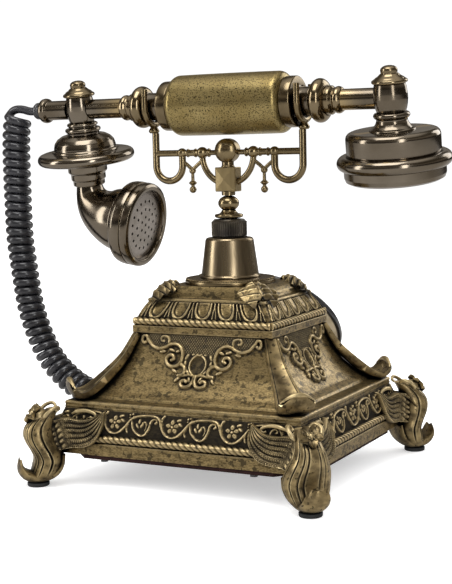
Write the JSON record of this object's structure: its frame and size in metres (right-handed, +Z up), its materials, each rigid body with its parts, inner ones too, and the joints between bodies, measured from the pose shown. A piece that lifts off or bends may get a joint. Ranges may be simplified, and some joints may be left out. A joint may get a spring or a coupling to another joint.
{
  "type": "cradle telephone",
  "caption": "French-style rotary desk telephone: moulded footed base, cone pedestal with forked cradle, handset with drum earpiece and curved horn mouthpiece, curly cord",
  "frame": {"origin": "centre of the base at the resting surface, midway between the handset ends and midway front to back", "axes": "+X along the handset toward the mouthpiece, -Y the dial side, +Z up"},
  "size_m": [0.2857, 0.1882, 0.2277],
  "materials": {
    "cast_bronze": "satin",
    "grip_bronze": "satin",
    "antique_brass": "satin",
    "black_plastic": "gloss",
    "cord_jacket": "gloss",
    "plug_plastic": "gloss",
    "pad_rubber": "matte",
    "base_sheet": "matte",
    "steel": "satin",
    "board": "matte",
    "button_plastic": "matte",
    "cup_plastic": "satin",
    "number_card": "satin",
    "capsule": "satin"
  },
  "bodies": {
    "base": {"housing": "cast_bronze", "rope_mouldings": "cast_bronze", "vine_relief": "cast_bronze", "egg_frieze": "cast_bronze", "panel_relief": "cast_bronze", "corner_scrolls": "cast_bronze", "feet": "cast_bronze", "foot_pads": "pad_rubber", "base_plate": "base_sheet", "screws": "steel", "flange_disc": "antique_brass", "pedestal_cone": "antique_brass", "guide_collar": "black_plastic", "circuit_board": "board", "ringer": "black_plastic", "hook_switch": "black_plastic", "cord_socket": "black_plastic", "line_socket": "black_plastic", "dial_cup": "cup_plastic", "dial_bezel": "black_plastic", "number_plate": "number_card", "finger_stop": "steel", "dial_bush": "antique_brass", "cord_plug": "plug_plastic"},
    "cradle": {"stem": "antique_brass", "stem_clip": "steel", "stem_block": "antique_brass", "hub_disc": "antique_brass", "yoke": "antique_brass", "forks": "antique_brass", "pendants": "antique_brass"},
    "handset": {"core_tube": "steel", "grip": "grip_bronze", "ferrules": "antique_brass", "necks": "antique_brass", "collar_rings": "antique_brass", "step_collars": "antique_brass", "arm_tubes": "antique_brass", "posts": "antique_brass", "finials": "antique_brass", "tail_tube": "antique_brass", "cord_bushing": "black_plastic", "ear_neck": "antique_brass", "ear_drum": "antique_brass", "ear_ring": "antique_brass", "ear_cap": "antique_brass", "receiver": "capsule", "mouth_neck": "antique_brass", "mouth_dome": "antique_brass", "mouth_steps": "antique_brass", "horn_elbow": "antique_brass", "horn_bell": "antique_brass", "mouth_grille": "antique_brass", "microphone": "capsule", "cord_leads": "cord_jacket", "cord_coil": "cord_jacket"},
    "dial_wheel": {"finger_wheel": "black_plastic", "hub_cap": "antique_brass", "dial_spindle": "steel"},
    "switch_button_body": {"switch_button": "button_plastic"}
  },
  "joints": [
    {"name": "handset_lift", "type": "slide", "parent": "base", "child": "handset", "axis": [0, 0, 1], "range_m": [0, 0.12]},
    {"name": "cradle_lift", "type": "slide", "parent": "base", "child": "cradle", "axis": [0, 0, 1], "range_m": [0, 0.006]},
    {"name": "switch_travel", "type": "slide", "parent": "base", "child": "switch_button_body", "axis": [0, 0, 1], "range_m": [0, 0.003]},
    {"name": "dial_turn", "type": "hinge", "parent": "base", "child": "dial_wheel", "pos_m": [0, -0.058, 0.079], "axis": [0, 0.7314, -0.682], "range_deg": [0, 320], "stiffness_Nm_per_rad": 0.004}
  ],
  "couplings": [
    {"joint": "cradle_lift", "follows": "handset_lift", "ratio": 0.05},
    {"joint": "switch_travel", "follows": "handset_lift", "ratio": 0.025}
  ]
}
